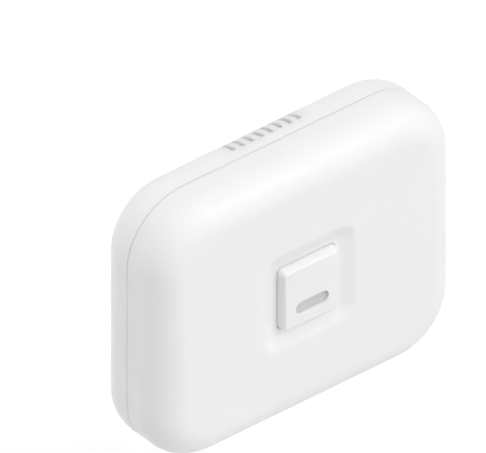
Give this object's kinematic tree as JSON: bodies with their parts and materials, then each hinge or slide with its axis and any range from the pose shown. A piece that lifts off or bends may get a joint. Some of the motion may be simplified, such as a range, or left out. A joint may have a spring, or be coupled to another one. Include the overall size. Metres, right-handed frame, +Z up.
{
  "type": "smart ir blaster",
  "caption": "Flat softly rounded wall-hung infrared blaster with a square push button in a front dish, top vents, rear battery door and wall keyholes.",
  "frame": {"origin": "on the flat back, midway between the two wall keyholes", "axes": "+X to the right seen from the front, +Y out of the back towards the wall, +Z up"},
  "size_m": [0.107, 0.027, 0.0854],
  "materials": {
    "case": "fine satin, white",
    "button": "fine satin, white",
    "lens": "frosted grey",
    "board": "green solder mask",
    "module": "blue solder mask",
    "steel": "nickel plated",
    "copper": "tinned copper",
    "black": "moulded black",
    "clear": "tinted clear",
    "cell": "shrink sleeve"
  },
  "bodies": {
    "case": {"rear_shell": "case", "front_shell": "case", "switch_body": "black", "status_led": "clear", "circuit_board": "board", "board_screws": "steel", "case_screws": "steel", "power_socket": "steel", "emitter_jack": "black", "ir_emitters": "clear", "ir_receiver": "black", "radio_board": "module", "radio_shield": "steel", "aerial_wire": "copper", "microcontroller": "black", "memory_chip": "black", "clock_crystal": "steel", "voltage_regulator": "black", "chip_parts": "black", "power_inductor": "black", "storage_capacitors": "cell", "temperature_sensor": "black", "positive_end_contact": "steel", "negative_end_contact": "steel", "left_link_contact": "steel", "right_link_contact": "steel", "battery_springs": "steel", "cell_upper": "cell", "cell_middle": "cell", "cell_lower": "cell"},
    "button": {"button_cap": "button", "status_lens": "lens"},
    "plunger": {"switch_plunger": "black"},
    "door": {"battery_door": "case"}
  },
  "joints": [
    {"name": "button_press", "type": "slide", "parent": "case", "child": "button", "axis": [0, 1, 0], "range_m": [0, 0.0005], "stiffness_N_per_m": 1000, "springref_m": -0.001},
    {"name": "plunger_press", "type": "slide", "parent": "case", "child": "plunger", "axis": [0, 1, 0], "range_m": [0, 0.0005]},
    {"name": "door_swing", "type": "hinge", "parent": "case", "child": "door", "pos_m": [0, 0, -0.02355], "axis": [-1, 0, 0], "range_deg": [0, 60]}
  ],
  "couplings": [
    {"joint": "plunger_press", "follows": "button_press", "ratio": 1}
  ]
}
